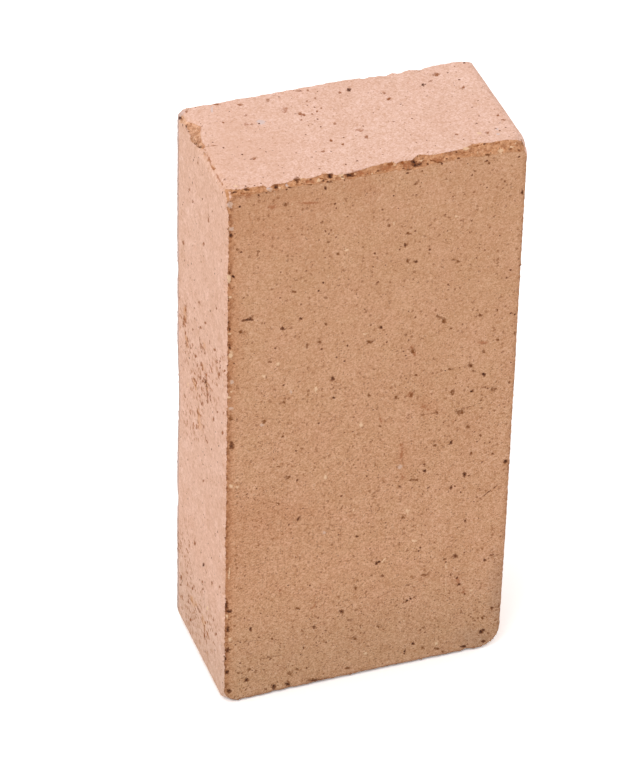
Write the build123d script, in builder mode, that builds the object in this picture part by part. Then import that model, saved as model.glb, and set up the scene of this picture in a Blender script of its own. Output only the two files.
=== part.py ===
"""A solid fireclay brick, extruded, wire cut and fired, standing on its end.

Millimetres. X runs across the width, Y through the thickness and Z up the length. The origin is
the middle of the end that the brick stands on, and the front, a cut face, looks towards -Y.
"""
import os

from build123d import *

# Size of the brick
length = 250.0
width = 120.0
thickness = 60.0

# Long corners of the column, rounded by the mouth of the die and worn unevenly
upper_left_radius = 4.0
upper_right_radius = 4.0
lower_left_radius = 4.5
lower_right_radius = 10.5

# Arrises left by the cutting wires, softened all round both cut faces
arris_radius = 1.5

# Ragged tear along the front arris of the upper end, over the whole width
tear_drop = 5.0
tear_reach = 3.0
tear_width_shares = (-0.5, -0.36, -0.22, -0.08, 0.04, 0.13, 0.23, 0.32, 0.37, 0.44, 0.5)
tear_drop_shares = (0.28, 0.30, 0.44, 0.52, 0.52, 0.80, 0.48, 0.64, 0.68, 0.76, 1.00)
tear_reach_shares = (0.42, 0.44, 0.52, 0.50, 0.55, 0.90, 0.50, 0.93, 1.00, 0.85, 0.95)

# Knock on the left corner of the upper end, from the middle of the thickness back
knock_drop = 2.6
knock_reach = 6.4
knock_depth_shares = (0.0, 0.10, 0.20, 0.30, 0.37)
knock_drop_shares = (0.40, 0.75, 0.90, 1.00, 0.50)
knock_reach_shares = (0.35, 0.62, 0.80, 1.00, 0.30)

# How far the broken pieces stand out past the faces that they come off
overrun = 3.0


def broken_piece(edge, places, drops, reaches):
    """The ragged piece that comes off along one sharp edge of the upper end.

    The edge is a plane that has its Z along the edge, its X over the end into the brick and its
    Y up out of the end. The piece goes down from the end by a drop and over it by a reach.
    """
    sections = []
    for place, drop, reach in zip(places, drops, reaches):
        with BuildSketch(edge.offset(place)) as section:
            with BuildLine():
                Polyline(
                    (reach, overrun),
                    (reach, 0),
                    (0, -drop),
                    (-overrun, -drop),
                    (-overrun, overrun),
                    close=True,
                )
            make_face()
        sections.append(section.sketch)
    with BuildPart() as piece:
        loft(sections, ruled=True)
    return piece.part


tear = broken_piece(
    Plane(origin=(0, -thickness / 2, length), x_dir=(0, 1, 0), z_dir=(1, 0, 0)),
    [share * width for share in tear_width_shares],
    [share * tear_drop for share in tear_drop_shares],
    [share * tear_reach for share in tear_reach_shares],
)
knock = broken_piece(
    Plane(origin=(-width / 2, 0, length), x_dir=(1, 0, 0), z_dir=(0, -1, 0)),
    [-share * thickness for share in knock_depth_shares],
    [share * knock_drop for share in knock_drop_shares],
    [share * knock_reach for share in knock_reach_shares],
)

with BuildPart() as firebrick:
    with BuildSketch(Plane.XZ):
        with BuildLine():
            FilletPolyline(
                (-width / 2, 0),
                (width / 2, 0),
                (width / 2, length),
                (-width / 2, length),
                radius=[
                    lower_left_radius,
                    lower_right_radius,
                    upper_right_radius,
                    upper_left_radius,
                ],
                close=True,
            )
        make_face()
    extrude(amount=thickness / 2, both=True)
    fillet(faces().filter_by(Axis.Y).edges(), arris_radius)
    add(tear, mode=Mode.SUBTRACT)
    add(knock, mode=Mode.SUBTRACT)

os.makedirs("parts", exist_ok=True)
firebrick.part.label = "firebrick"
export_step(firebrick.part, "parts/firebrick.step")
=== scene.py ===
"""Looks of the firebrick: its weathered skin, the grains that show in it, and their finishes.

The frame is in metres, X across the width, Y through the thickness and Z up the length. Relief,
grains and camera are worked out in millimetres, and MM turns them into metres. Points are arrays
of one row for each point, and what is found for them has one number for each.
"""
import math
import random

import bmesh
import bpy
import numpy as np
from mathutils import Matrix, Vector, noise
from mathutils.bvhtree import BVHTree


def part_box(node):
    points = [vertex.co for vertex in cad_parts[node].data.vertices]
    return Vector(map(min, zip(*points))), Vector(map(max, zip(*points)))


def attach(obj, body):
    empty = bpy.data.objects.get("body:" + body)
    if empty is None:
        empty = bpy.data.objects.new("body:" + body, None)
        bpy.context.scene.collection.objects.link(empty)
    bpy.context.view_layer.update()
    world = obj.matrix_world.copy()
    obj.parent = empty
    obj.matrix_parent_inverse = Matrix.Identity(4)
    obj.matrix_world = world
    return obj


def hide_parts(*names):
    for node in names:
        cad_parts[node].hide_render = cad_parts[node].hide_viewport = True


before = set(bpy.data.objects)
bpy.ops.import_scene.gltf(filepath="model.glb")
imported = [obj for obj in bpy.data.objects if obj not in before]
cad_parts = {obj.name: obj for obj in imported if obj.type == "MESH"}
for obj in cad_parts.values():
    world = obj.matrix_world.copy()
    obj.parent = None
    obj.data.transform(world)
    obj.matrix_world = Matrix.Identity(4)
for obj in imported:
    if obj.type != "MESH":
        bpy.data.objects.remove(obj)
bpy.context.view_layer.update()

MM = 0.001
LOW, HIGH = (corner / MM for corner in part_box("firebrick"))
HALF_WIDTH = (HIGH.x - LOW.x) / 2
HALF_THICKNESS = (HIGH.y - LOW.y) / 2
LENGTH = HIGH.z - LOW.z

# Corners of the column, as in the solid
UPPER_RADIUS = 4.0
LOWER_LEFT_RADIUS = 4.5
LOWER_RIGHT_RADIUS = 10.5
ARRIS_RADIUS = 1.5

# Photograph and the camera that was solved from it, in pixels, degrees and millimetres
IMAGE_WIDTH = 644
IMAGE_HEIGHT = 758
SENSOR = 36.0
FOCAL_PIXELS = 4462.5
VIEW_AZIMUTH = -20.241
VIEW_ELEVATION = 37.137
VIEW_ROLL = 1.432
VIEW_DISTANCE = 1749.5
VIEW_TARGET = Vector((-9.563, 0.0, 131.53))

# Mesh of the skin: edge of a cell on the open faces, halved once for each level of fineness
CELL = 2.4
FINEST_LEVEL = 3

# Where it is finer: near and close to an arris, how far over both faces from the front's left
# arris, near a broken face and round a mark
ARRIS_NEAR = 5.0
ARRIS_CLOSE = 2.4
LEFT_ARRIS = (4.0, 1.6)
BREAK_NEAR = 1.8
MARK_MARGIN = 0.65

# Depth of the skin under the solid, and how near to the solid's box the relief may come
SKIN_DEPTH = 0.12
BOX_CLEARANCE = 0.02

# Roughness of the relief: size of its grains, octaves, seed and depth
SKIN_SWELL = (16.0, 2, 1, 0.1)
SKIN_GRAIN = (3.0, 2, 2, 0.04)
ARRIS_GRAIN = (2.2, 3, 3, 0.3)
TORN_GRAIN = (1.5, 3, 4, 0.5)
TORN_SWELL = (4.0, 1, 6, 0.5)
CORNER_GRAIN = (2.5, 2, 8, 0.3)
BREAK_GRAIN = (2.0, 2, 7, 0.3)

# How far from an arris its grain fades, how the grain of the torn clay begins, how deep hollows
# between crumbs and iron lie, the share of it for brown spots, and how far pale grains stand out
ARRIS_FADE = 1.2
TORN_EDGE = 1.2
TORN_START = 0.3
HOLLOW_DEPTH = 0.6
IRON_DEPTH = 0.3
BROWN_SHARE = 0.5
PALE_HEIGHT = 0.15

# A face of the solid that lies deeper than this under an unworn brick is a broken one
BREAK_DEPTH = 0.15
BREAK_SEARCH = 8.0

# Worn corners: side, front or back and end that they are on, how far in the middle of the
# rounding lies and how far the wear runs along the arrises
WORN_CORNERS = (
    (1, -1, 1, 16, 11), (-1, -1, 0, 14, 10.5), (1, -1, 0, 14, 11), (-1, 1, 1, 9, 4), (-1, 1, 0, 12, 7.5),
    (1, 1, 0, 9, 4),
)

# Corner knocked flat: three points of the plane of the break
FLAT_BREAK = ((46.7, 30, 250), (60, 30, 245.9), (60, 26, 250))
BREAK_SIZE = 20.0

# Bites out of the arrises and wide shallow sags: middle, reach and depth
BITES = (
    ((15.2, 30, 250), 1.6, 0.9), ((19.5, 30, 250), 1.4, 0.8), ((23.4, 30, 250), 2, 1),
    ((29.4, 30, 250), 1.5, 1.4), ((37.8, 30, 250), 2, 0.8), ((40, 30, 250), 19, 0.6),
    ((-60, 30, 113), 19, 0.6), ((-60, 30, 62), 3, 0.5), ((-60, 30, 176), 3.5, 0.4),
    ((-37.5, -30, 0), 1.8, 0.4), ((-31, -30, 0), 2.2, 0.4), ((-20.5, -30, 0), 2, 0.3),
    ((45.5, -30, 0), 2, 0.7), ((25, -30, 0), 35, 1), ((-25, -30, 0), 35, 0.7), ((-60, -30, 127), 2, 0.8),
    ((-60, -30, 208), 2.6, 0.8), ((-60, -30, 47), 2.4, 0.9), ((-60, -30, 27), 2, 0.8),
)

# Crumbs of the broken clay, and the size and reach of the noise that bends them
CRUMB_SIZE = 1.6
CRUMB_BEND = (1.2, 0.5)

# Landmarks, in pixels of the photograph. A spot is x, y, half width and half height, a stroke is
# x and y of both ends and half its width.
IRON_SPOTS = (
    (231, 236, 1.8, 1.8), (232, 446, 2.2, 4.8), (226.5, 606, 1.6, 5.4), (229.5, 612, 3, 2.1),
    (228, 630, 1.8, 2.9), (228, 651, 2.4, 2.7), (226, 659.5, 1.5, 1.8), (522.5, 192.5, 1.3, 2.4),
    (227, 673, 2.2, 2.4), (229.5, 692, 2.3, 2.1), (250.5, 319.5, 3, 2.1), (301, 319, 1.3, 1.2),
    (283, 329, 2, 1.7), (333, 379, 1.8, 2.6), (251, 630, 1.4, 1.9), (247, 681, 2.3, 1.6),
    (405.5, 246, 1.6, 1.3), (416, 262, 2.3, 1.3), (381, 327.5, 1.6, 1.8), (484, 375, 2, 1.8),
    (472, 392, 1.8, 1.5), (451, 443, 1.9, 1.5), (425, 471, 1.7, 2.1), (465, 475, 2, 2.3),
    (451, 488, 1.4, 1.8), (506, 462, 1.9, 1.9), (400, 487, 1.6, 1.3), (298.5, 520, 1.4, 1.9),
    (377, 563.5, 2, 1.5), (485, 560.5, 1.4, 1.3), (481.5, 633, 2, 1.8), (484.5, 631, 1.8, 1.6),
    (425, 621, 1.4, 1.1), (407.5, 601.5, 1.4, 1.1), (465.5, 595, 1.4, 1.3), (492.5, 609, 1.3, 1.6),
    (314, 628, 2.2, 1.6), (274.5, 688, 2.1, 2.8), (304, 648, 1.2, 1.5), (342, 613, 1.9, 1.9),
    (179, 118, 1.5, 1.6), (349, 89, 1.9, 1.7), (423, 83.4, 1.6, 1.4), (203, 565, 1.3, 1.9),
    (288, 685.5, 2.5, 2.1), (484, 642.5, 1.9, 1.4), (464.5, 648, 2.8, 1.5), (471, 366, 1.1, 0.9),
    (456, 557, 1.2, 1), (411, 600, 1.2, 1.1), (406, 653.5, 1.2, 1.2), (414, 645.5, 1.6, 1.1),
    (334, 398, 1.5, 1.2), (357, 537, 1.3, 1.2), (465.5, 521.5, 1.3, 1.2), (382, 576, 1.3, 1.2),
)
BROWN_SPOTS = (
    (285, 205, 2.2, 1.8), (338, 254, 1.6, 1.6), (259, 252, 1.5, 1.5), (238, 250, 1.5, 1.3),
    (294, 292, 2.8, 1.3), (326, 298, 2, 1.2), (241, 332, 2.2, 1.8), (326, 324, 2, 1.2),
    (307, 346, 1.5, 3), (321, 342, 1.5, 1.3), (284, 402, 1.6, 1.3), (283, 437, 1.6, 1.4),
    (231, 419, 2, 2.5), (389, 226, 1.6, 1.6), (408, 234, 2.5, 1.3), (408, 261, 1.6, 2.2),
    (370, 342, 3.4, 1.8), (371, 325, 1.5, 1.5), (406, 336, 1.5, 2), (498, 340, 1.5, 1.2),
    (471, 366, 3, 2.2), (369, 395, 1.5, 1.8), (378, 406, 1.6, 1.5), (423, 415, 2, 1.5),
    (437, 413, 1.5, 1.2), (460, 412, 4.5, 2.8), (287, 478, 2, 1.8), (278, 504, 1.8, 1.5),
    (403, 518, 1.8, 1.5), (475.5, 621.7, 1.4, 0.9), (478.5, 619, 1.1, 1.2), (483, 619, 1, 1.7),
    (484.5, 617, 1.1, 0.9), (425, 629, 1.5, 1.2), (355.6, 640, 2.8, 2.4), (351, 621, 3.2, 1.3),
    (268, 100, 2.2, 1.8), (315, 98, 1.5, 1.4), (300, 113, 1.8, 1.5), (303.8, 114.5, 1.6, 1.2),
    (335, 123, 1.5, 1.2), (331, 140, 1.3, 1.6), (254, 158, 1.8, 1.3), (323, 151, 2.2, 1),
    (436, 73, 3.4, 1.9), (384, 92, 1.8, 1.2), (340, 92, 1.8, 1.2), (487, 132, 2, 1.5),
    (463, 87, 1.8, 1.6), (186, 111, 1.8, 1.2), (240, 104.5, 2.6, 1), (246, 115, 1.8, 1.2),
    (456, 134, 1.6, 0.9), (504, 119.5, 2.4, 0.9), (217, 104, 3, 0.8), (252, 124, 1.6, 0.9),
    (451, 178.5, 1.3, 1.1), (475, 171.5, 1.6, 1), (504, 176, 1.6, 1), (505, 181.5, 1.4, 1.2),
    (422, 171.5, 1.3, 1), (402.5, 163, 2.2, 1.8), (390.5, 164.5, 3.2, 1.4), (488, 155, 2.6, 1.6),
    (509.5, 149, 2.6, 1.2), (270, 362, 1.6, 1.2), (264, 422, 2, 1.9), (329, 242, 1.5, 1.3),
    (416, 184, 1.8, 1.3), (489.5, 163.5, 1.3, 1.2), (454, 260, 2.1, 1.4), (458, 262, 1.4, 1.6),
    (438, 317, 2, 1.5), (452.5, 392.6, 2.4, 2.2), (411.5, 395.5, 1.5, 1.9), (396.4, 398, 2.2, 2),
    (480, 293, 1.3, 1.3), (515, 334, 1, 1.6), (389, 98, 2.4, 1.6), (366.4, 136.6, 2.2, 1.8),
    (431, 79.4, 1.4, 1.1), (343, 144, 1.3, 1), (498, 115, 1.4, 1.3), (223, 122, 1.3, 1.2),
    (272.5, 639.5, 1.2, 1), (249.5, 670, 1.8, 1.3), (256.5, 672, 1.7, 1), (264.5, 670.5, 1.3, 1.1),
    (238.5, 673.5, 1.4, 1.1), (290.5, 675, 1.8, 2), (298, 671, 1.8, 1.1), (348.5, 669.5, 2.8, 1.3),
    (297.5, 609, 2.2, 1.4), (237.5, 568.5, 1.3, 1.3), (307, 100.5, 1.3, 1), (408, 585.5, 3, 1.1),
    (445, 559.5, 1.8, 1.1), (491.5, 555.5, 1.8, 1), (451, 575.5, 1.3, 1), (321.5, 107.5, 1.3, 0.9),
    (317, 111, 1.1, 0.9), (312, 113.5, 1.1, 0.8), (301, 119.4, 1.4, 0.9), (319, 580, 1.2, 1.1),
    (326.5, 595.5, 1.2, 0.9), (355.6, 588.5, 1.6, 1.9), (317.3, 647, 1.1, 0.9), (226.5, 685, 1.8, 1.6),
    (484, 351.5, 1.5, 2.3), (482, 408.5, 1.4, 0.9), (489, 634, 1.4, 1.2), (499.5, 606.5, 1, 2.4),
    (424.5, 648.5, 1.4, 1), (437.5, 650.5, 2.6, 1.5), (444.5, 653.5, 1.8, 1), (379.5, 628.5, 1.2, 1.1),
    (415.5, 317.5, 1.3, 1.2), (401.5, 317.5, 1.2, 1), (444, 321, 2, 2.8), (462.5, 324.5, 1.1, 1),
    (451.5, 328.5, 1.4, 1.1), (480.5, 315.5, 2, 1.4), (497.5, 310.5, 1.1, 1.1), (503.5, 351.5, 1.1, 1),
    (413, 351, 2.6, 2.6), (474, 371.5, 1.8, 1.2), (450, 369.5, 3, 0.9), (485.5, 387.5, 1.2, 1.1),
    (493.5, 389.5, 2.8, 2.2), (509.5, 382.5, 1.2, 1.6), (499.5, 405.5, 1.1, 1), (481, 400.5, 1.6, 0.9),
    (416.5, 375.5, 1.8, 1), (446.5, 398.5, 1.4, 1.1), (467.5, 426.5, 1.2, 1.2), (480.5, 435.5, 1.4, 1.2),
    (435.5, 445.5, 2.2, 1.1), (471.5, 453.5, 2, 1.5), (493, 454, 1.8, 1.3), (380.5, 426.5, 1.4, 1.2),
    (299, 90.5, 3, 1), (308, 90, 1.3, 1), (316.5, 681.5, 9, 1.6), (372, 576, 1.4, 1),
    (424.5, 575.5, 4.2, 1.2), (415, 480.5, 5.2, 1.3),
)
TEAR_SPOTS = (
    (297, 179.5, 3, 2.6), (330.5, 176, 3, 2.6), (350.5, 175.5, 5, 1.8), (414.5, 162, 2.6, 2.2),
    (416, 165.5, 2.6, 1.7), (419.5, 164.5, 2.8, 1.9), (408, 173.5, 1.6, 1.1), (276.5, 187, 1.8, 2.4),
    (234, 192, 2.8, 1.5), (290, 187.8, 2, 1.1), (246.5, 189, 2.6, 1.7), (329, 182.5, 1.8, 1.3),
    (325.5, 188.5, 1.6, 1.6), (323.5, 181, 1.4, 1.1), (378, 170.8, 1.2, 1.1), (428, 164, 1.2, 1),
    (442, 164, 1.3, 1.1), (447, 159, 1.2, 1.1), (459, 158.5, 1.5, 1), (485, 144, 1.4, 0.8),
    (519.5, 150.5, 1.1, 1.1), (487, 161, 1.2, 0.8), (311, 179.5, 1.2, 0.8), (342.5, 177, 1.6, 0.7),
    (404, 168.5, 1.2, 0.7), (259, 195.5, 1.2, 1.1), (457, 152, 1.2, 0.7),
)
TEAR_STREAKS = (
    (302, 183.5, 312, 185, 0.8), (474, 146.5, 482, 144.5, 0.7), (496, 143.5, 501, 142, 0.7),
    (412, 170, 403, 171, 0.6), (372, 175, 381, 170, 0.6), (430, 160, 441, 163, 0.7),
    (462, 153, 472, 151.5, 0.6), (241, 193, 250, 193, 0.7), (320, 178, 328, 180, 0.6),
)
LEFT_MARKS = (
    (199, 302.5, 0.9, 1), (192.5, 329.5, 0.8, 0.9), (205, 323, 0.8, 1), (200, 327.5, 1, 1.3),
    (214.5, 349.7, 1.4, 1.1), (195.2, 356, 0.9, 1.6), (216.5, 361.8, 0.8, 1.7), (219.6, 361.5, 0.8, 0.9),
    (196.5, 365.3, 0.8, 1.2), (193, 365, 0.7, 1), (219.6, 368, 0.8, 0.9), (211.5, 368.5, 0.8, 0.7),
    (218.5, 374, 0.8, 1.9), (199.8, 378, 0.8, 1.6), (202, 381.5, 0.9, 1.3), (224, 371, 0.7, 1.2),
    (207, 401.5, 1, 1.5), (201.7, 404, 0.7, 1.9), (217, 412, 0.9, 1), (223.5, 413, 0.6, 1),
    (203, 427, 0.7, 1.6), (222, 433, 0.8, 1.5), (197, 423, 0.8, 0.9), (195.5, 428.5, 1, 0.9),
    (213, 419.5, 0.7, 2.2), (192.3, 588.5, 1, 1.4), (180.5, 578, 1.1, 2.4), (190, 620, 1, 1.1),
    (215.3, 634, 0.8, 1.5), (212.5, 620, 0.7, 1.2), (219, 587, 0.9, 0.9), (211.5, 583, 0.7, 1.3),
    (194.5, 543, 0.7, 1.8), (181.5, 595.5, 0.7, 1.3), (179.7, 585, 0.9, 0.9), (201.7, 582, 0.7, 1.3),
    (202, 589.5, 0.9, 0.7), (205.5, 572, 0.7, 1.1), (189, 189.5, 0.7, 1.3), (192.5, 201.8, 0.7, 1.3),
    (203, 244, 0.7, 1.8), (183, 243, 0.8, 1.6), (203, 481, 1, 1.1), (197.5, 163, 0.6, 1.2),
)
LEFT_STROKES = (
    (204, 378, 206.5, 387, 1.5), (206.5, 388, 207.8, 395, 1.1), (209.5, 395.5, 210, 400, 1),
    (199, 336, 199.6, 341, 0.8), (200.6, 343, 200.8, 348, 1), (200.8, 350, 201.3, 352, 0.9),
    (203, 348.8, 205, 353.5, 1), (200.8, 362, 202.2, 370, 0.9), (185, 306, 185.6, 313, 0.8),
    (183.4, 316, 182.8, 327, 0.8), (185.6, 320, 186, 323.5, 0.9), (185, 332, 185.2, 334.5, 0.8),
    (186.2, 338, 187, 341, 0.8), (184.8, 342, 187.2, 347.5, 0.9), (190, 345, 190.3, 348.5, 0.7),
    (193.5, 379, 195, 385.5, 0.9), (196, 388, 197, 391, 0.8), (215, 305, 216, 309, 0.7),
    (183.5, 395, 184, 398, 0.7), (196.5, 411, 198, 416, 0.8), (204, 435, 207, 443, 0.6),
    (208, 214, 208, 222, 0.5), (197, 607, 199.5, 612, 0.9), (188, 595, 190, 600, 0.7),
    (187, 602, 189.5, 604, 0.7), (203.5, 625, 204, 640, 0.5), (209, 341, 209, 344, 0.6),
)
HALOS = (
    (203.5, 343, 205, 349, 1.8), (184.5, 308, 184.5, 322, 1.6), (191, 597, 195, 606, 2.2),
    (202.5, 364, 203.5, 370, 1.3), (205, 380, 207, 390, 1.6), (197, 408, 200, 430, 1.6),
    (186, 336, 187, 347, 1.4), (193, 379, 195.5, 390, 1.3), (202, 616, 204, 630, 1.4),
)
RUST_SPOTS = (
    (285, 110, 2.8, 2.6), (246, 124, 2.4, 1.5), (360, 130, 4, 1.4), (200.5, 146.5, 3.4, 1.3),
    (310, 203, 8, 1.4), (247, 196, 4, 2), (310, 182, 4, 1.6), (361, 173.5, 8, 3), (387, 168.5, 7, 2.6),
    (408, 166, 5, 4), (439, 160, 6, 2.4), (272, 207, 4, 2), (403, 477, 2.2, 3), (484, 343, 3.6, 1.6),
    (411, 395, 2.8, 3), (302, 114.5, 2.6, 1.5), (458.3, 581.5, 2, 2.8),
)
RUST_STROKES = (
    (318, 602, 310, 611, 0.9), (278, 589, 280, 592, 1.3), (205, 150, 213, 168, 1.1),
    (216, 174, 223, 186, 0.8), (402, 444, 401, 460, 1.5), (380, 418, 383, 427, 0.9),
    (424, 407, 429, 410, 1), (411, 346, 415, 355, 1.6), (463, 588, 466, 596, 0.8),
)
PALE_GRAINS = (
    (280, 187.7, 1.5, 1.2), (229, 279, 2, 4.5), (231, 355, 2, 3.6), (341, 175.6, 3.2, 1.8),
    (318.5, 180.5, 2.2, 1.8), (501, 151, 2.4, 2.6), (512.5, 146.8, 1.9, 1), (466, 148.5, 3.4, 1.3),
    (231, 486, 2, 1.8), (237, 487, 1.4, 1.2), (347, 250, 2.1, 1.5), (264, 376, 1.8, 1.5),
    (278, 364, 1.6, 2.1), (316, 389, 1.3, 2.8), (361, 425, 1.8, 2.8), (325.5, 477, 1.5, 2.2),
    (437, 645, 1.5, 1.7), (366, 655, 2.1, 1.2), (343, 178.5, 2, 0.8), (456, 217, 1.8, 1),
    (393, 384, 1.4, 0.9), (365, 334, 2.2, 1.1), (471, 591, 1.8, 1), (414, 541, 3, 0.9),
    (230, 297.5, 1.5, 1), (229.5, 334, 1.6, 0.8), (229, 397.5, 1.4, 1), (229, 578, 1.1, 1.3),
    (227.5, 617, 1.4, 2), (231, 392, 1.2, 0.9), (433.5, 154.5, 1, 0.7), (395.5, 165, 1.4, 0.8),
    (421, 160.5, 1.6, 0.8), (301, 178.5, 1.5, 1), (187.5, 384.5, 1, 1.6), (207, 608, 1, 2.4),
    (230, 640, 1.5, 2), (479, 133, 1.9, 1.1), (236, 186, 2, 1.2), (372, 174, 1.2, 0.9),
)
LILAC_GRAINS = (
    (261, 122, 4.6, 2.4), (269.5, 189.5, 3.2, 2.2), (230, 205, 2.4, 3.6), (231, 229, 3.2, 2),
    (232, 382, 2, 2.2), (231, 408.5, 3.4, 1.7), (291, 392, 1.7, 1.8), (400, 467, 2.6, 2.4),
    (324, 533, 2, 1.8), (262, 425, 2.4, 1.4), (212, 110, 1.1, 3.4), (287, 185.5, 1.4, 1.8),
    (497, 129, 1.8, 1), (498, 134, 1.6, 1),
)
DARK_STROKES = (
    (243, 321.5, 250, 319.5, 1.3), (229, 272, 235, 279, 1.1), (483, 497, 500, 484, 0.6),
    (449, 445, 452, 441, 0.8), (204.3, 380, 206, 386, 1), (310, 683, 326, 680, 0.8),
    (229, 322, 230, 331, 1.2), (229.5, 345, 230, 350, 1.1), (229, 299, 229.5, 302, 1),
    (456.7, 579.5, 458, 578, 0.8), (459.6, 584, 460, 585.5, 0.8), (376, 564.8, 380, 562.3, 1),
)
FAINT_STROKES = (
    (206, 146, 218, 144.8, 0.5), (262, 418, 278, 420, 0.5), (469, 407, 482, 403, 0.5),
    (339, 513, 343, 506, 0.8), (260, 660, 282, 656, 0.6), (225, 643, 262, 641, 0.5),
    (277, 467, 283, 467, 0.8), (487, 560, 499, 555, 0.6), (423, 415, 437, 413, 0.5),
)
PALE_STROKES = (
    (446, 562, 446, 572, 0.6), (446, 580, 446, 600, 0.4), (394, 221, 394, 227, 0.6),
    (408, 508, 408, 515, 0.7), (353, 511, 356, 505, 0.6), (382, 562, 385, 559, 0.8),
    (230, 568, 229, 576, 0.7),
)

# Upper edge of the tear from left to right and the outline of the knock, and stretches of the
# arrises that crumbled
TEAR_LINE = (
    (222, 186), (230, 188), (237, 188.5), (243, 186.5), (256, 186.5), (263, 184.5), (268, 188),
    (275, 184), (287, 183), (291, 180), (297, 177), (306, 178.5), (316, 177), (324, 172.5), (337, 175),
    (346, 174), (358, 171), (370, 167), (385, 163), (392, 161.5), (396, 163.8), (402, 161), (412, 160),
    (419, 154), (431, 155), (440, 153.5), (450, 151.5), (462, 149), (468, 146.5), (474, 142.5),
    (490, 142.5), (504, 140), (530, 139),
)
KNOCK_OUTLINE = (
    (179, 114), (182, 113.5), (186, 121), (193, 123), (201, 126), (200, 132), (202, 142), (205.5, 146),
    (203, 149), (198, 147.5), (190, 141), (189.5, 132), (184, 124), (176, 122),
)
CRUMBLED_STROKES = (
    (203.5, 153, 204, 155, 1.3), (207.5, 160, 208.5, 160, 1.5), (212, 166, 213.5, 169, 1.6),
    (221, 182, 222, 184, 1), (226.5, 191, 228.5, 203, 1.6), (228, 208, 230, 214, 1.6),
    (225.5, 189.5, 240, 190.5, 1.3),
)

# Patches of a warmer or greyer clay and of scuffed skin
WARM_PATCHES = (
    (255, 520, 40, 26), (265, 225, 44, 28), (427, 405, 12, 9), (403, 460, 6, 26), (296, 512, 40, 8),
    (240, 145, 46, 34), (362, 188, 16, 10), (290, 200, 50, 10), (236, 330, 8, 60), (238, 540, 9, 40),
)
SCUFFED_PATCHES = (
    (184, 318, 4, 14), (190, 352, 7, 10), (216, 364, 6, 10), (204, 384, 14, 16), (194, 420, 9, 14),
    (182, 556, 7, 24), (190, 602, 8, 20), (206, 632, 8, 16),
)
GREY_PATCHES = ((500, 600, 10, 46), (480, 640, 22, 10))


def srgb(red, green, blue):
    """A colour picked in 0 to 255 steps, as linear light."""
    shares = [channel / 255 for channel in (red, green, blue)]
    linear = [s / 12.92 if s <= 0.04045 else ((s + 0.055) / 1.055) ** 2.4 for s in shares]
    return (*linear, 1.0)


# Camera


def view_axes():
    """Right, up and backward directions of the camera."""
    azimuth, elevation, roll = map(math.radians, (VIEW_AZIMUTH, VIEW_ELEVATION, VIEW_ROLL))
    level = math.cos(elevation)
    back = Vector((math.sin(azimuth) * level, -math.cos(azimuth) * level, math.sin(elevation)))
    right = Vector((math.cos(azimuth), math.sin(azimuth), 0.0))
    up = back.cross(right)
    turned_right = math.cos(roll) * right + math.sin(roll) * up
    turned_up = math.cos(roll) * up - math.sin(roll) * right
    return turned_right, turned_up, back


RIGHT, UP, BACK = view_axes()
EYE = VIEW_TARGET + VIEW_DISTANCE * BACK


def add_camera():
    camera = bpy.data.objects.new("camera", bpy.data.cameras.new("camera"))
    camera.data.sensor_width = SENSOR
    camera.data.lens = FOCAL_PIXELS * SENSOR / IMAGE_HEIGHT
    camera.data.clip_end = 100.0
    axes = Matrix((RIGHT, UP, BACK)).transposed().to_4x4()
    camera.matrix_world = Matrix.Translation(EYE * MM) @ axes
    bpy.context.scene.collection.objects.link(camera)
    bpy.context.scene.camera = camera


def photo_places(points):
    """Pixels of the photograph at which points show."""
    away = points - np.array(EYE)
    distance = -(away @ np.array(BACK))
    x = IMAGE_WIDTH / 2 + FOCAL_PIXELS * (away @ np.array(RIGHT)) / distance
    y = IMAGE_HEIGHT / 2 - FOCAL_PIXELS * (away @ np.array(UP)) / distance
    return np.column_stack((x, y))


# Solid and its distances


def corners_and_faces(mesh):
    """Corners of a mesh, in millimetres, and its faces."""
    points = [vertex.co / MM for vertex in mesh.vertices]
    return points, [list(face.vertices) for face in mesh.polygons]


SOLID_POINTS, SOLID_FACES = corners_and_faces(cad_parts["firebrick"].data)
SOLID = BVHTree.FromPolygons(SOLID_POINTS, SOLID_FACES)


def outline_depth(points):
    """Distance in from the outline of the cut faces."""
    x, z = points[:, 0], points[:, 2]
    lower = np.where(x < 0, LOWER_LEFT_RADIUS, LOWER_RIGHT_RADIUS)
    radius = np.where(z > LENGTH / 2, UPPER_RADIUS, lower)
    out_x = np.abs(x) - (HALF_WIDTH - radius)
    out_z = np.abs(z - LENGTH / 2) - (LENGTH / 2 - radius)
    beyond = np.hypot(np.maximum(out_x, 0), np.maximum(out_z, 0))
    return radius - beyond - np.minimum(np.maximum(out_x, out_z), 0)


def rim_of(points):
    """Distance from the nearest arris: more than zero on a cut face, less on the skin."""
    return outline_depth(points) - (HALF_THICKNESS - np.abs(points[:, 1]))


def missing_of(points):
    """How deep the points lie under an unworn brick."""
    inward = outline_depth(points) - ARRIS_RADIUS
    behind = HALF_THICKNESS - np.abs(points[:, 1]) - ARRIS_RADIUS
    outside = np.hypot(np.minimum(inward, 0), np.minimum(behind, 0))
    return np.maximum(np.minimum(inward, behind), 0) - outside + ARRIS_RADIUS


def broken_tree():
    """The torn and knocked faces of the solid alone."""
    middles = [sum((SOLID_POINTS[i] for i in face), Vector()) / len(face) for face in SOLID_FACES]
    deep = missing_of(np.array(middles)) > BREAK_DEPTH
    return BVHTree.FromPolygons(SOLID_POINTS, [f for f, is_deep in zip(SOLID_FACES, deep) if is_deep])


BROKEN = broken_tree()


def break_distance(points):
    """Distance from the broken faces, up to BREAK_SEARCH."""
    found = (BROKEN.find_nearest(Vector(point), BREAK_SEARCH)[3] for point in points)
    return np.array([BREAK_SEARCH if distance is None else distance for distance in found])


# Landmarks


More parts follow.
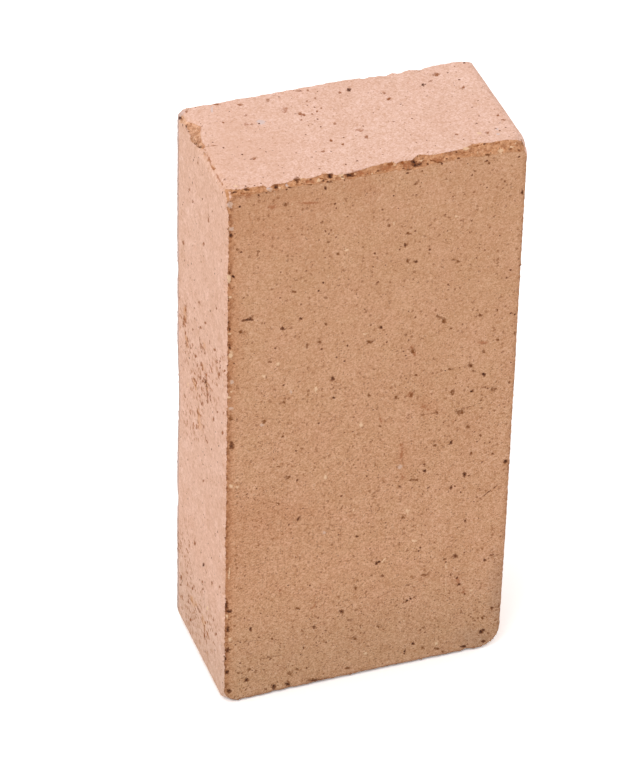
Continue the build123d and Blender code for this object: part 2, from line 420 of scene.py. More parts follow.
# Coarsest scale at which a face shows in the photograph, and finest one of each kind of face
PIXELS_PER_MM = 0.9
PIXELS_PER_MM_FRONT = 2.4
PIXELS_PER_MM_SKIN = 1.5

# Grain of a mark's ragged outline in millimetres, and how far it goes as a share of the mark
MARK_GRAIN = 0.8
MARK_RAGGEDNESS = 0.6

# Noise that breaks strokes into dots, what it starts from, and how strong faint strokes are
DOT_GRAIN = (1.4, 2, 23)
DOT_START = 0.8
FAINT_SHARE = 0.7

# How much wider the marks of the left side are drawn, which it shows very slantingly
LEFT_GROWTH = 1.2

# How far from the broken faces of the solid the tear and the knock still show, and how
# softly the tear ends there
TEAR_SPREAD = 0.8
TEAR_FADE = 0.6
KNOCK_SPREAD = 6.0

# How much sooner or later than at the left arris of the front the cut faces begin: sooner at its
# right and lower arrises, later at those of the back
OPEN_ARRIS = 1.2
CLOSED_ARRIS = -1.5


def as_strokes(marks):
    """Spots and strokes alike: one end, the other, and half the width and height."""
    for mark in marks:
        if len(mark) == 4:
            yield mark[:2], mark[:2], mark[2:]
        else:
            yield mark[:2], mark[2:4], mark[4:] * 2


def grown(marks):
    """Spots or strokes of the left side, drawn wider."""
    ends = 2 if len(marks[0]) == 4 else 4
    return tuple((*mark[:ends], *(half * LEFT_GROWTH for half in mark[ends:])) for mark in marks)


def anchor(x, y):
    """Point of the solid that shows at a pixel of the photograph."""
    across = (x - IMAGE_WIDTH / 2) / FOCAL_PIXELS
    down = (y - IMAGE_HEIGHT / 2) / FOCAL_PIXELS
    sight = (across * RIGHT - down * UP - BACK).normalized()
    return SOLID.ray_cast(EYE, sight)[0] or SOLID.find_nearest(EYE + sight * VIEW_DISTANCE)[0]


def from_line(points, start, end):
    """Distance of points from the line between two others."""
    start, along = np.array(start), np.array(end) - np.array(start)
    share = np.clip((points - start) @ along / max(along @ along, 1e-9), 0, 1)
    return np.linalg.norm(points - start - share[:, None] * along, axis=1)


def marked(points, marks):
    """1 in the middle of a mark, 0.5 at its outline and 0 further out."""
    seen = photo_places(points)
    ragged = np.column_stack([field(points, MARK_GRAIN, 2, seed) for seed in (21, 22)])
    value = np.zeros(len(points))
    for start, end, half in as_strokes(marks):
        reach = max(half) * 2 / PIXELS_PER_MM + MARK_MARGIN
        near = from_line(points, anchor(*start), anchor(*end)) < reach
        if near.any():
            start, end = np.array(start) / half, np.array(end) / half
            places = seen[near] / half + MARK_RAGGEDNESS * ragged[near]
            value[near] = np.maximum(value[near], 1 - from_line(places, start, end) / 2)
    return value


def inside_outline(places, outline):
    """How far inside a closed outline places lie, less than zero outside it."""
    inside = np.zeros(len(places), dtype=bool)
    distance = np.full(len(places), np.inf)
    for start, end in zip(outline, outline[1:] + outline[:1]):
        distance = np.minimum(distance, from_line(places, start, end))
        share = (places[:, 1] - start[1]) / (end[1] - start[1])
        on_left = places[:, 0] < start[0] + share * (end[0] - start[0])
        inside ^= (share >= 0) & (share < 1) & on_left
    return np.where(inside, distance, -distance)


def torn_of(points):
    """How far inside the torn, knocked and crumbled patches points lie, less than zero outside."""
    seen = photo_places(points)
    x, y = seen.T
    gap = break_distance(points)
    under_line = (y - np.interp(x, *zip(*TEAR_LINE))) / PIXELS_PER_MM_SKIN
    tear = np.minimum(under_line, TEAR_FADE * (TEAR_SPREAD - gap))
    knock = inside_outline(seen, KNOCK_OUTLINE) / PIXELS_PER_MM_SKIN
    knock[gap > KNOCK_SPREAD] = -1.0
    crumbled = 2 * marked(points, CRUMBLED_STROKES) - 1
    return np.maximum(np.where(points[:, 1] < 0, tear, knock), crumbled)


def skin_edge(points):
    """Distance in from the edge of the skin, which comes round some arrises and not others."""
    away = np.stack((
        points[:, 0] - LOW.x, HIGH.z - points[:, 2], HIGH.x - points[:, 0], points[:, 2] - LOW.z,
    ))
    front = np.where(np.argmin(away, axis=0) < 2, 0.0, OPEN_ARRIS)
    return rim_of(points) + np.where(points[:, 1] < 0, front, CLOSED_ARRIS)


def marks_near(points, marks):
    """Whether each point lies within the refined surroundings of a mark."""
    near = np.zeros(len(points), dtype=bool)
    for start, end, half in as_strokes(marks):
        start, end = anchor(*start), anchor(*end)
        in_front = start.y < ARRIS_RADIUS - HALF_THICKNESS
        scale = PIXELS_PER_MM_FRONT if in_front else PIXELS_PER_MM_SKIN
        near |= from_line(points, start, end) < max(half) / scale + MARK_MARGIN
    return near


# Shape of the skin


def lattice(cell):
    """A closed box of near-square cells round the solid."""
    steps = [np.linspace(*ends, round((ends[1] - ends[0]) / cell) + 1) for ends in zip(LOW, HIGH)]
    mesh = bmesh.new()
    corners = {}

    def corner(index):
        if index not in corners:
            corners[index] = mesh.verts.new([steps[k][index[k]] for k in range(3)])
        return corners[index]

    for axis in range(3):
        across, along = (axis + 1) % 3, (axis + 2) % 3
        for end in (0, len(steps[axis]) - 1):
            for i in range(len(steps[across]) - 1):
                for j in range(len(steps[along]) - 1):
                    ring = []
                    for di, dj in ((0, 0), (1, 0), (1, 1), (0, 1)):
                        index = {axis: end, across: i + di, along: j + dj}
                        ring.append(corner((index[0], index[1], index[2])))
                    mesh.faces.new(ring if end else ring[::-1])
    return mesh


FINE_MARKS = (
    IRON_SPOTS + BROWN_SPOTS + TEAR_SPOTS + LEFT_MARKS + LEFT_STROKES + PALE_GRAINS + LILAC_GRAINS
    + RUST_SPOTS + RUST_STROKES + DARK_STROKES + FAINT_STROKES + PALE_STROKES
)


def fineness(points):
    """How many times the cells round these points are halved."""
    rim = np.abs(rim_of(points))
    level = np.zeros(len(points))
    level[(rim < ARRIS_NEAR) | (outline_depth(points) < 0)] = 1
    level[rim < ARRIS_CLOSE] = 2
    at_left = (points[:, :2] < np.array(LOW)[:2] + LEFT_ARRIS).all(axis=1)
    level[at_left | (break_distance(points) < BREAK_NEAR)] = FINEST_LEVEL
    level[marks_near(points, FINE_MARKS)] = FINEST_LEVEL
    return level


def refine(mesh):
    """Halves the cells, level by level, where the relief is fine."""
    for level in range(FINEST_LEVEL):
        centres = np.array([face.calc_center_median() for face in mesh.faces])
        for face, wanted in zip(mesh.faces, fineness(centres) > level):
            face.tag = bool(wanted)
        edges = [edge for edge in mesh.edges if any(face.tag for face in edge.link_faces)]
        bmesh.ops.subdivide_edges(mesh, edges=edges, cuts=1, use_grid_fill=True)


def field(points, size, octaves, seed, depth=1.0):
    """Smooth noise of a depth, with grains of a size."""
    shift = Vector((seed * 17.3, seed * 5.1, seed * 11.7))
    if octaves == 1:
        return depth * np.array([noise.noise(Vector(p) / size + shift) for p in points])
    return depth * np.array(
        [noise.fractal(Vector(p) / size + shift, 0.8, 2.0, octaves) for p in points]
    )


def crumbs(points):
    """Hollows between the crumbs of broken clay: 0 on a crumb, 1 between."""
    size, reach = CRUMB_BEND
    bent = points + reach * np.column_stack([field(points, size, 2, s) for s in (31, 32, 33)])
    return np.array([min(1.25 * noise.voronoi(Vector(p) / CRUMB_SIZE)[0][0], 1.0) for p in bent])


def wear_corners(points):
    """Rounds off the corners of the brick, each inside a rough ball of its own."""
    bumps = field(points, *CORNER_GRAIN)
    for side, front, end, inset, reach in WORN_CORNERS:
        signs = np.array((side, front, 1 if end else -1))
        corner = np.array((side * HALF_WIDTH, front * HALF_THICKNESS, LENGTH if end else 0.0))
        middle = corner - inset * signs
        radius = math.sqrt(2 * inset ** 2 + (inset - reach) ** 2)
        away = points - middle
        distance = np.linalg.norm(away, axis=1) + bumps
        cut = (distance > radius) & (away * signs > 0).all(axis=1)
        points[cut] = middle + away[cut] * (radius / distance[cut])[:, None]
    return points


def break_flat(points):
    """Takes off the corner of the brick that lies beyond a rough flat break."""
    first, second, third = (Vector(point) for point in FLAT_BREAK)
    out = np.array((third - first).cross(second - first).normalized())
    beyond = np.maximum((points - np.array(first)) @ out + field(points, *BREAK_GRAIN), 0)
    beyond[np.linalg.norm(points - np.array(first), axis=1) > BREAK_SIZE] = 0
    return points - beyond[:, None] * out


def relief(points, values):
    """How far the weathered skin lies under the solid."""
    depth = SKIN_DEPTH + field(points, *SKIN_SWELL) + field(points, *SKIN_GRAIN)
    depth += np.exp(-np.abs(rim_of(points)) / ARRIS_FADE) * field(points, *ARRIS_GRAIN)
    inside = np.clip(values["torn"] / TORN_EDGE + TORN_START, 0, 1)
    depth += inside * (HOLLOW_DEPTH * values["hollow"] + field(points, *TORN_GRAIN))
    depth += inside * field(points, *TORN_SWELL)
    for middle, reach, bite in BITES:
        away = np.linalg.norm(points - np.array(middle), axis=1)
        depth += bite * np.exp(-(away / reach) ** 2)
    sunk = np.maximum(values["dark"], BROWN_SHARE * values["brown"])
    return depth + IRON_DEPTH * sunk - PALE_HEIGHT * (values["pale"] + values["lilac"])


def put_in_box(mesh, points):
    """Puts the corners of a mesh at points, kept inside the box of the solid."""
    inside = np.clip(points, np.array(LOW) + BOX_CLEARANCE, np.array(HIGH) - BOX_CLEARANCE)
    for vertex, point in zip(mesh.verts, inside):
        vertex.co = point * MM


def add_skin():
    """The brick's own surface, laid on the solid and weathered inwards."""
    mesh = lattice(CELL)
    refine(mesh)
    for vertex in mesh.verts:
        vertex.co = SOLID.find_nearest(vertex.co)[0]
    mesh.normal_update()
    points = np.array([vertex.co for vertex in mesh.verts])
    normals = np.array([vertex.normal for vertex in mesh.verts])
    dotted = np.clip(DOT_START + field(points, *DOT_GRAIN), 0, 1)

    def drawn(spots, strokes):
        return np.maximum(marked(points, spots), dotted * marked(points, strokes))

    brown = drawn(BROWN_SPOTS + grown(LEFT_MARKS), grown(LEFT_STROKES) + TEAR_STREAKS)
    values = {
        "rim": skin_edge(points),
        "torn": torn_of(points),
        "hollow": crumbs(points),
        "dark": drawn(IRON_SPOTS + TEAR_SPOTS, DARK_STROKES),
        "brown": np.maximum(brown, FAINT_SHARE * marked(points, FAINT_STROKES)),
        "pale": drawn(PALE_GRAINS, PALE_STROKES),
        "lilac": marked(points, LILAC_GRAINS),
        "rust": drawn(RUST_SPOTS, RUST_STROKES),
        "halo": marked(points, HALOS),
        "tint": marked(points, WARM_PATCHES) - marked(points, GREY_PATCHES),
        "scuffed": marked(points, SCUFFED_PATCHES),
    }
    depth = relief(points, values)
    put_in_box(mesh, wear_corners(break_flat(points - normals * depth[:, None])))
    skin = new_piece("brick_skin", mesh, values)
    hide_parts("firebrick")
    return skin


def new_piece(name, mesh, values):
    """A smooth-shaded object on the brick's body, with numbers at its corners to shade by."""
    data = bpy.data.meshes.new(name)
    mesh.to_mesh(data)
    mesh.free()
    data.shade_smooth()
    for label, numbers in values.items():
        attribute = data.attributes.new(label, "FLOAT", "POINT")
        attribute.data.foreach_set("value", np.asarray(numbers, dtype=np.float32))
    piece = bpy.data.objects.new(name, data)
    bpy.context.scene.collection.objects.link(piece)
    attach(piece, "root")
    return piece


# Grains in the skin

# Grains: number to the square millimetre, least and greatest radius, height, and least and
# greatest strength of colour
IRON_GRAINS = (0.03, 0.3, 0.85, 0.06, 0.25, 0.75)
PALE_CLAY_GRAINS = (0.012, 0.3, 0.8, 0.1, 0.2, 0.6)

# Rings of a grain's corners, as shares of its radius and height, and how far its top and foot lie
GRAIN_SIDES = 8
GRAIN_RINGS = ((0.55, 1.0), (1.0, -0.5))
GRAIN_TOP = 1.2
GRAIN_FOOT = 2.0


def scattered(draw, density, tree):
    """Random places on the skin, each with the direction out of it."""
    size = HIGH - LOW
    for axis in range(3):
        across, along = (axis + 1) % 3, (axis + 2) % 3
        for side in (LOW, HIGH):
            for _ in range(round(size[across] * size[along] * density)):
                place = Vector()
                place[axis] = side[axis]
                place[across] = LOW[across] + draw.random() * size[across]
                place[along] = LOW[along] + draw.random() * size[along]
                yield tree.find_nearest(place)[:2]


def add_grain(mesh, draw, place, normal, radius, height):
    """One closed flat lump sunk into the skin, and the strength's share at each of its corners."""
    turned = normal.to_track_quat("Z", "Y")
    stretch = draw.uniform(0.6, 1.0)
    turn = draw.uniform(0.0, math.tau)
    inner, outer = [], []
    for ring, (share, level) in zip((inner, outer), GRAIN_RINGS):
        for side in range(GRAIN_SIDES):
            angle = math.tau * side / GRAIN_SIDES
            reach = radius * share * draw.uniform(0.75, 1.15)
            x, y = math.cos(angle) * reach, math.sin(angle) * reach * stretch
            flat = Matrix.Rotation(turn, 3, "Z") @ Vector((x, y, level * height))
            ring.append(mesh.verts.new((place + turned @ flat) * MM))
    top = mesh.verts.new((place + normal * height * GRAIN_TOP) * MM)
    foot = mesh.verts.new((place - normal * height * GRAIN_FOOT) * MM)
    for side in range(GRAIN_SIDES):
        following = (side + 1) % GRAIN_SIDES
        mesh.faces.new((top, inner[side], inner[following]))
        mesh.faces.new((inner[side], outer[side], outer[following], inner[following]))
        mesh.faces.new((foot, outer[following], outer[side]))
    return [1.0] * GRAIN_SIDES + [0.0] * GRAIN_SIDES + [1.0, 0.0]


def add_grains(name, kind, tree, label, seed):
    """Flat lumps of iron or of paler clay that lie in the skin on every side."""
    density, smallest, largest, height, weakest, strongest = kind
    draw = random.Random(seed)
    mesh = bmesh.new()
    strengths = []
    for place, normal in scattered(draw, density, tree):
        radius = smallest * (largest / smallest) ** (draw.random() ** 1.6)
        strength = draw.uniform(weakest, strongest)
        shares = add_grain(mesh, draw, place, normal, radius, height)
        strengths += [strength * share for share in shares]
    points = np.array([vertex.co / MM for vertex in mesh.verts])
    put_in_box(mesh, points)
    values = {"rim": skin_edge(points), "torn": torn_of(points), label: strengths}
    return new_piece(name, mesh, values)


# Finishes


# Share by which red, green and blue rise where the clay gets paler
PALING = (0.73, 1.08, 1.5)

# Layers of mottling, finer ones first: size in millimetres and amount
TAN_LAYERS = ((0.7, 0.36), (2.0, 0.2), (4.5, 0.16), (20.0, 0.12))
PINK_LAYERS = ((0.8, 0.34), (1.8, 0.22), (4.5, 0.18), (20.0, 0.14))
TORN_LAYERS = ((0.8, 0.5), (1.6, 0.36), (4.0, 0.26))
LEFT_LAYERS = ((1.0, 0.36), (2.4, 0.34), (6.0, 0.24))

# Specks: cell that holds one at most, share of the cells that hold one, largest radius and seed
SCUFF_SPECKS = (2.2, 0.5, 0.9, 3.0)
THIN_SPECKS = (2.1, 0.8, 1.3, 4.0)
PORE_SPECKS = (1.6, 0.35, 0.45, 5.0)
FINE_SPECKS = (0.9, 0.6, 0.42, 6.0)
COARSE_SPECKS = (1.9, 0.45, 0.75, 7.0)
PALE_SPECKS = (1.3, 0.4, 0.5, 8.0)
CRUMB_SPECKS = (1.8, 0.4, 0.8, 9.0)

# Pairs of colours: in turns on the same clay, or first on the skin and then on the cut faces
PINK_GROUND = (srgb(236, 188, 166), srgb(242, 200, 180))
TAN_GROUND = (srgb(211, 161, 122), srgb(217, 163, 129))
TORN_GROUND = (srgb(208, 145, 101), srgb(224, 168, 128))
LILACS = (srgb(226, 204, 200), srgb(226, 190, 168))
BROWNS = (srgb(152, 84, 36), srgb(130, 76, 38))
# Painted shade round the foot of the brick, first on the skin and then on the cut faces
FOOT_SHADE = (srgb(172, 148, 146), srgb(146, 102, 76))

# Layers over the ground colours: how strongly they lie there and their colour
WARM_PINK = (0.45, srgb(230, 180, 154))
LEFT_PINK = (0.35, srgb(238, 190, 160))
SCUFFS = (0.4, srgb(204, 150, 118))
HALO = (0.5, srgb(226, 164, 112))
PORES = (0.55, srgb(150, 98, 68))
WARM_TAN = (0.4, srgb(203, 142, 104))
GREY_TAN = (0.5, srgb(186, 146, 120))
LEFT_TAN = (0.6, srgb(208, 147, 106))
COARSE_GRAINS = (0.65, srgb(140, 82, 44))
PALE_CLAY = (0.4, srgb(236, 200, 168))
WARM_TORN = (0.5, srgb(194, 128, 84))
# Painted light: the torn clay of the knock made paler where it faces up
KNOCK_LIT_PALER = (0.7, srgb(242, 190, 156))
# Painted shade in the hollows between crumbs, then painted highlight on the crumb tops
HOLLOW_SHADE = (0.4, srgb(150, 90, 56))
CRUMB_HIGHLIGHT = (0.35, srgb(236, 188, 148))
TORN_CRUMBS = (0.4, srgb(146, 88, 56))
RUST = (0.62, srgb(168, 96, 56))
PALE_GRAIN = (0.8, srgb(248, 208, 170))
IRON_RIM = (0.85, srgb(124, 70, 38))

# Colours of layers of varying strength, and what the clay is multiplied by for painted shade low down
# and on the left back arris
THIN_SKIN = srgb(174, 102, 52)
FINE_GRAINS = srgb(134, 80, 44)
IRON = srgb(68, 37, 28)
ARRIS_CRUMBS = srgb(146, 88, 54)
WORN_STRIP = srgb(168, 106, 70)
LOW_SHADE = (0.88, 0.93, 0.93, 1.0)
BACK_ARRIS_SHADE = (0.75, 0.82, 0.93, 1.0)


class Graph:
    """Shader nodes of a material or of the world."""

    def __init__(self, owner):
        owner.use_nodes = True
        self.nodes = owner.node_tree.nodes
        self.links = owner.node_tree.links

    def find_place(self):
        """Object coordinates of one unit to the millimetre."""
        place = self.add("ShaderNodeTexCoord").outputs["Object"]
        self.place = self.vector("MULTIPLY", place, [1 / MM] * 3)
        self.x, self.y, self.z = self.add("ShaderNodeSeparateXYZ", {0: self.place}).outputs

    def seen(self):
        """1 for rays that look for a background, also by way of gloss or glass, else 0."""
        path = self.add("ShaderNodeLightPath").outputs
        past_it = self.math("MAXIMUM", path["Is Glossy Ray"], path["Is Transmission Ray"])
        return self.math("MAXIMUM", path["Is Camera Ray"], past_it)

    def add(self, kind, inputs=None, **settings):
        """A node with its settings and with what goes into its sockets."""
        node = self.nodes.new(kind)
        for name, value in settings.items():
            setattr(node, name, value)
        for socket, value in (inputs or {}).items():
            self.feed(node.inputs[socket], value)
        return node

    def feed(self, socket, value):
        if isinstance(value, bpy.types.NodeSocket):
            self.links.new(value, socket)
        else:
            socket.default_value = value

    def vector(self, operation, first, second):
        inputs = {0: first, 1: second}
        return self.add("ShaderNodeVectorMath", inputs, operation=operation).outputs["Vector"]

    def math(self, operation, first, second, clamp=False):
        inputs = {0: first, 1: second}
        return self.add("ShaderNodeMath", inputs, operation=operation, use_clamp=clamp).outputs[0]

    def plus(self, first, second):
        return self.math("ADD", first, second)

    def minus(self, first, second):
        return self.math("SUBTRACT", first, second)

    def times(self, first, second):
        return self.math("MULTIPLY", first, second)

    def scaled(self, value, factor, offset, clamp=False):
        return self.math("ADD", self.times(value, factor), offset, clamp)

    def value(self, name):
        return self.add("ShaderNodeAttribute", attribute_name=name).outputs["Fac"]

    def noise(self, size, detail=2.0, roughness=0.5, seed=0.0):
        """Noise of 0 to 1 with grains of a size in millimetres."""
        inputs = {"Vector": self.place, "W": seed, "Scale": 1 / size}
        inputs |= {"Detail": detail, "Roughness": roughness}
        return self.add("ShaderNodeTexNoise", inputs, noise_dimensions="4D").outputs["Fac"]

    def ramp(self, value, low, high):
        """0 below low, 1 above high, smooth between."""
        inputs = {"Value": value, "From Min": low, "From Max": high}
        node = self.add("ShaderNodeMapRange", inputs, interpolation_type="SMOOTHSTEP")
        return node.outputs["Result"]

    def mask(self, name, ragged, low, high):
        """A ramp of one of the numbers at the corners, with its edge made ragged."""
        return self.ramp(self.plus(self.value(name), ragged), low, high)

    def fall(self, value, low, high):
        """1 below low, 0 above high, smooth between."""
        return self.minus(1.0, self.ramp(value, low, high))

    def mix(self, share, first, second, blend="MIX"):
        inputs = {"Factor": share, "A": first, "B": second}
        node = self.add("ShaderNodeMix", inputs, data_type="RGBA", blend_type=blend)
        return [out for out in node.outputs if out.type == "RGBA"][0]

    def laid(self, colour, mask, layer):
        """A colour with a layer over it where a mask says."""
        strength, over = layer
        return self.mix(self.times(mask, strength), colour, over)

    def lit(self, colour, value, amount):
        """A colour made darker or paler by half an amount, as a value goes from 0 to 1."""
        light = self.times(self.minus(value, 0.5), amount)
        inputs = {0: light, 1: PALING, 2: (1.0, 1.0, 1.0)}
        node = self.add("ShaderNodeVectorMath", inputs, operation="MULTIPLY_ADD")
        return self.vector("MULTIPLY", colour, node.outputs["Vector"])

    def mottled(self, colour, layers, seed):
        """A colour made paler and darker by layers of noise, each a size and an amount."""
        for number, (size, amount) in enumerate(layers):
            colour = self.lit(colour, self.noise(size, 1.0, 0.6, seed + number), amount)
        return colour

    def cells(self, place, size):
        """Distance from the middle of the nearest cell, and two random numbers of that cell."""
        inputs = {"Vector": place, "Scale": 1 / size}
        cell = self.add("ShaderNodeTexVoronoi", inputs, voronoi_dimensions="3D")
        pick = self.add("ShaderNodeSeparateColor", {0: cell.outputs["Color"]})
        return cell.outputs["Distance"], pick.outputs[0], pick.outputs[1]

    def sanded(self, colour, size, amount):
        """A colour that differs from one grain of sand to the next."""
        return self.lit(colour, self.cells(self.place, size)[1], amount)

    def specks(self, cell, share, radius, seed):
        """Mask of scattered ragged specks, one at most in each cell, up to a radius."""
        place = self.vector("ADD", self.place, (seed * 3.17, seed * 7.71, seed * 1.33))
        inputs = {"Vector": place, "Scale": 1 / radius, "Detail": 1.0}
        bent = self.add("ShaderNodeTexNoise", inputs, noise_dimensions="3D").outputs["Color"]
        shift = self.vector("SUBTRACT", bent, (0.5, 0.5, 0.5))
        shift = self.vector("MULTIPLY", shift, [radius * 2.2] * 3)
        distance, size, strength = self.cells(self.vector("ADD", place, shift), cell)
        reach = self.times(self.ramp(size, 1 - share, 1 - share / 3), radius / cell)
        inside = self.ramp(self.minus(reach, distance), 0.0, 0.45 * radius / cell)
        return self.times(inside, self.scaled(strength, 0.6, 0.4))

    def finish(self, colour, roughness, gloss):
        """Sets the shader's colour and gloss, and returns its sockets."""
        sockets = self.nodes["Principled BSDF"].inputs
        sockets["Roughness"].default_value = roughness
        sockets["Specular IOR Level"].default_value = gloss
        self.feed(sockets["Base Color"], colour)
        return sockets


def left_side(graph):
    """1 on the left side, 0 away from it."""
    return graph.fall(graph.x, -59.5, -56.0)


def warmed(graph, colour, layer):
    """A colour with its patches of warmer clay."""
    return graph.laid(colour, graph.ramp(graph.value("tint"), 0.1, 1.0), layer)


def pink_skin(graph):
    """Smooth skin that the die left, thinner on the left side."""
    colour = graph.mix(graph.noise(18.0, seed=1.0), *PINK_GROUND)
    colour = graph.sanded(graph.mottled(colour, PINK_LAYERS, seed=10.0), 0.55, 0.28)
    left = left_side(graph)
    colour = graph.laid(warmed(graph, colour, WARM_PINK), left, LEFT_PINK)
    colour = graph.mix(left, colour, graph.mottled(colour, LEFT_LAYERS, seed=14.0))
    colour = graph.laid(colour, graph.specks(*SCUFF_SPECKS), SCUFFS)
    patchy = graph.scaled(graph.value("scuffed"), 1.2, 0.15, clamp=True)
    thin = graph.times(graph.times(graph.specks(*THIN_SPECKS), left), patchy)
    colour = graph.mix(thin, colour, THIN_SKIN)
    colour = graph.laid(colour, graph.ramp(graph.value("halo"), 0.3, 0.9), HALO)
    return graph.laid(colour, graph.specks(*PORE_SPECKS), PORES)


def tan_clay(graph):
    """Open clay of the wire-cut faces, with fine dark grains that crowd together here and there."""
    colour = warmed(graph, graph.mix(graph.noise(9.0, 1.0, seed=2.0), *TAN_GROUND), WARM_TAN)
    grey = graph.ramp(graph.times(graph.value("tint"), -1.0), 0.1, 1.0)
    colour = graph.laid(colour, grey, GREY_TAN)
    colour = graph.laid(colour, graph.fall(graph.x, -59.0, -53.0), LEFT_TAN)
    colour = graph.mottled(colour, TAN_LAYERS, seed=20.0)
    coarser = graph.fall(graph.z, 90.0, 230.0)
    colour = graph.sanded(colour, 0.45, graph.scaled(coarser, 0.14, 0.38))
    crowd = graph.scaled(graph.ramp(graph.noise(5.0, seed=12.0), 0.38, 0.6), 0.55, 0.45)
    fine = graph.times(graph.specks(*FINE_SPECKS), crowd)
    fine = graph.times(fine, graph.scaled(coarser, 0.4, 0.6))
    colour = graph.mix(fine, colour, FINE_GRAINS)
    colour = graph.laid(colour, graph.specks(*COARSE_SPECKS), COARSE_GRAINS)
    return graph.laid(colour, graph.specks(*PALE_SPECKS), PALE_CLAY)


def torn_clay(graph):
    """Rough clay of the broken edges, with painted highlight on its crumbs and painted shade between
    them.
    """
    colour = warmed(graph, graph.mix(graph.noise(3.0, seed=9.0), *TORN_GROUND), WARM_TORN)
    # Painted light: paler torn clay on the knock, which faces up
    colour = graph.laid(colour, graph.ramp(graph.y, -27.0, -22.0), KNOCK_LIT_PALER)
    colour = graph.sanded(graph.mottled(colour, TORN_LAYERS, seed=30.0), 0.5, 0.4)
    hollow = graph.value("hollow")
    # Painted shade between the crumbs and painted highlight on their tops
    colour = graph.laid(colour, graph.ramp(hollow, 0.5, 0.95), HOLLOW_SHADE)
    colour = graph.laid(colour, graph.ramp(graph.times(hollow, -1.0), -0.4, -0.1), CRUMB_HIGHLIGHT)
    return graph.laid(colour, graph.specks(*CRUMB_SPECKS), TORN_CRUMBS)


def spotted(graph, colour, cut):
    """A colour with the grains and stains that lie in it, as the numbers at its corners say."""
    grain = graph.minus(graph.noise(0.7, seed=4.0), 0.5)
    fine, coarse = graph.times(grain, 0.5), graph.times(grain, 1.4)
    colour = graph.laid(colour, graph.mask("rust", coarse, 0.25, 0.8), RUST)
    colour = graph.laid(colour, graph.mask("pale", fine, 0.35, 0.7), PALE_GRAIN)
    lilac = (0.75, graph.mix(cut, *LILACS))
    colour = graph.laid(colour, graph.mask("lilac", fine, 0.35, 0.7), lilac)
    clumps = graph.ramp(graph.noise(1.1, seed=15.0), 0.38, 0.58)
    brown = graph.times(graph.mask("brown", fine, 0.3, 0.7), graph.scaled(clumps, 0.4, 0.54))
    colour = graph.mix(brown, colour, graph.mix(cut, *BROWNS))
    colour = graph.laid(colour, graph.mask("dark", fine, 0.3, 0.6), IRON_RIM)
    return graph.mix(graph.mask("dark", fine, 0.56, 0.92), colour, IRON)


def painted_shade(graph, colour, cut):
    """A colour with painted shade: greyer low down, darker round the foot and mauve on the left back
    arris, which turns away from the light.
    """
    colour = graph.mix(graph.fall(graph.z, 5.0, 60.0), colour, LOW_SHADE, "MULTIPLY")
    colour = graph.laid(colour, graph.fall(graph.z, 0.8, 2.6), (0.6, graph.mix(cut, *FOOT_SHADE)))
    behind = graph.times(graph.math("GREATER_THAN", graph.y, 0.0), left_side(graph))
    shaded_arris = graph.times(graph.ramp(graph.value("rim"), -5.2, -4.2), behind)
    return graph.mix(shaded_arris, colour, BACK_ARRIS_SHADE, "MULTIPLY")


def crumbly(graph, colour):
    """A colour with brown crumbs along the arrises of the cut faces, most on the left."""
    edge = graph.fall(graph.value("rim"), 1.0, 4.2)
    near = graph.times(edge, graph.scaled(left_side(graph), 0.4, 0.55))
    crumbs_there = graph.ramp(graph.noise(1.5, 3.0, 0.6, seed=13.0), 0.45, 0.58)
    return graph.mix(graph.times(near, crumbs_there), colour, ARRIS_CRUMBS)


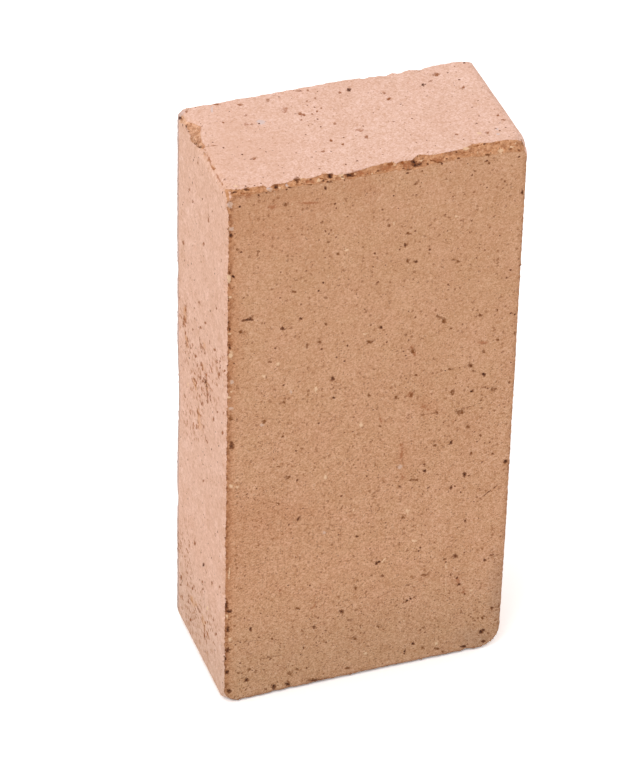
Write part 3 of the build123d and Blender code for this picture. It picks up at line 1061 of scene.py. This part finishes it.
def clay_finish():
    """The brick's one material: pink skin, tan cut faces and torn clay."""
    material = bpy.data.materials.new("fired_clay_skin")
    graph = Graph(material)
    graph.find_place()
    ragged = graph.noise(2.0, 4.0, 0.65, seed=3.0)
    cut = graph.mask("rim", graph.times(ragged, 2.6), 2.1, 2.4)
    torn = torn_clay(graph)
    strip = graph.fall(graph.plus(graph.x, graph.times(ragged, -6.0)), -61.4, -59.4)
    tan = graph.laid(tan_clay(graph), strip, (0.8, graph.mix(0.3, torn, WORN_STRIP)))
    colour = graph.mix(cut, pink_skin(graph), crumbly(graph, tan))
    broken = graph.mask("torn", graph.times(graph.minus(ragged, 0.5), 1.8), -0.1, 0.1)
    # Painted shade low down, round the foot and on the left back arris goes over everything else
    colour = painted_shade(graph, spotted(graph, graph.mix(broken, colour, torn), cut), cut)
    height = graph.times(graph.noise(0.8, 4.0, 0.65, seed=5.0), graph.scaled(broken, 2.0, 1.0))
    bump = graph.add("ShaderNodeBump", {"Strength": 0.4, "Distance": 0.5 * MM, "Height": height})
    shader = graph.finish(colour, roughness=0.9, gloss=0.15)
    graph.feed(shader["Normal"], bump.outputs["Normal"])
    return material


# Floor and light


# Floor and sky as they light the brick, and as the camera sees them
FLOOR_LIT = (0.8, 0.8, 0.8, 1.0)
FLOOR_SEEN = (1.5, 1.5, 1.5, 1.0)
SKY_LIT = 0.78
SKY_SEEN = 1.0

# Width of the floor, and width, power, place and aim of the lamp, in metres and watts
FLOOR_SIZE = 12.0
KEY_SIZE = 1.2
KEY_POWER = 11.0
KEY_PLACE = Vector((-1.0, -0.75, 1.7))
KEY_AIM = Vector((0.0, 0.0, 0.12))


def add_stage():
    bpy.ops.mesh.primitive_plane_add(size=FLOOR_SIZE)
    floor = bpy.context.object
    floor.name = "floor"
    material = bpy.data.materials.new("floor_white")
    graph = Graph(material)
    graph.finish(graph.mix(graph.seen(), FLOOR_LIT, FLOOR_SEEN), roughness=1.0, gloss=0.0)
    floor.data.materials.append(material)


def add_light():
    world = bpy.data.worlds.new("studio")
    bpy.context.scene.world = world
    graph = Graph(world)
    background = graph.nodes["Background"].inputs
    background["Color"].default_value = (1.0, 1.0, 1.0, 1.0)
    graph.feed(background["Strength"], graph.scaled(graph.seen(), SKY_SEEN - SKY_LIT, SKY_LIT))
    key = bpy.data.objects.new("key", bpy.data.lights.new("key", "AREA"))
    key.data.size = KEY_SIZE
    key.data.energy = KEY_POWER
    key.location = KEY_PLACE
    key.rotation_euler = (KEY_AIM - KEY_PLACE).to_track_quat("-Z", "Y").to_euler()
    bpy.context.scene.collection.objects.link(key)


add_camera()
skin = add_skin()
tree = BVHTree.FromPolygons(*corners_and_faces(skin.data))
iron = add_grains("iron_grains", IRON_GRAINS, tree, "dark", seed=5)
pale = add_grains("pale_grains", PALE_CLAY_GRAINS, tree, "pale", seed=6)
clay = clay_finish()
for piece in (skin, iron, pale):
    piece.data.materials.append(clay)
add_stage()
add_light()
bpy.context.scene.view_settings.view_transform = "Standard"
